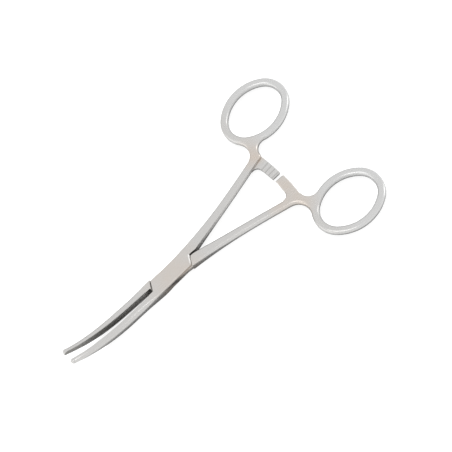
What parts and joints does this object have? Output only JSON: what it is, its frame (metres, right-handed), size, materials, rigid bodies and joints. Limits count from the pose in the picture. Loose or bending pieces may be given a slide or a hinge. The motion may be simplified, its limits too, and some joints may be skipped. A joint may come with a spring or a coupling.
{
  "type": "hemostat forceps",
  "caption": "Curved hemostat forceps with box lock, cross-serrated jaws, finger rings and ratchet arms.",
  "frame": {"origin": "pivot axis at the back face of the box lock", "axes": "+X along the middle line from the jaws to the finger rings, +Z along the pivot axis towards the side to which the jaws curve, +Y towards the ring of the box half"},
  "size_m": [0.141, 0.083, 0.0127],
  "materials": {
    "satin_steel": "satin",
    "pin_steel": "satin"
  },
  "bodies": {
    "box_side": {"box_half": "satin_steel", "pivot_pin": "pin_steel"},
    "insert_side": {"insert_half": "satin_steel"}
  },
  "joints": [
    {"name": "lock_hinge", "type": "hinge", "parent": "box_side", "child": "insert_side", "pos_m": [0, 0, 0.0025], "axis": [0, 0, -1], "range_deg": [-3.9, 36]}
  ]
}
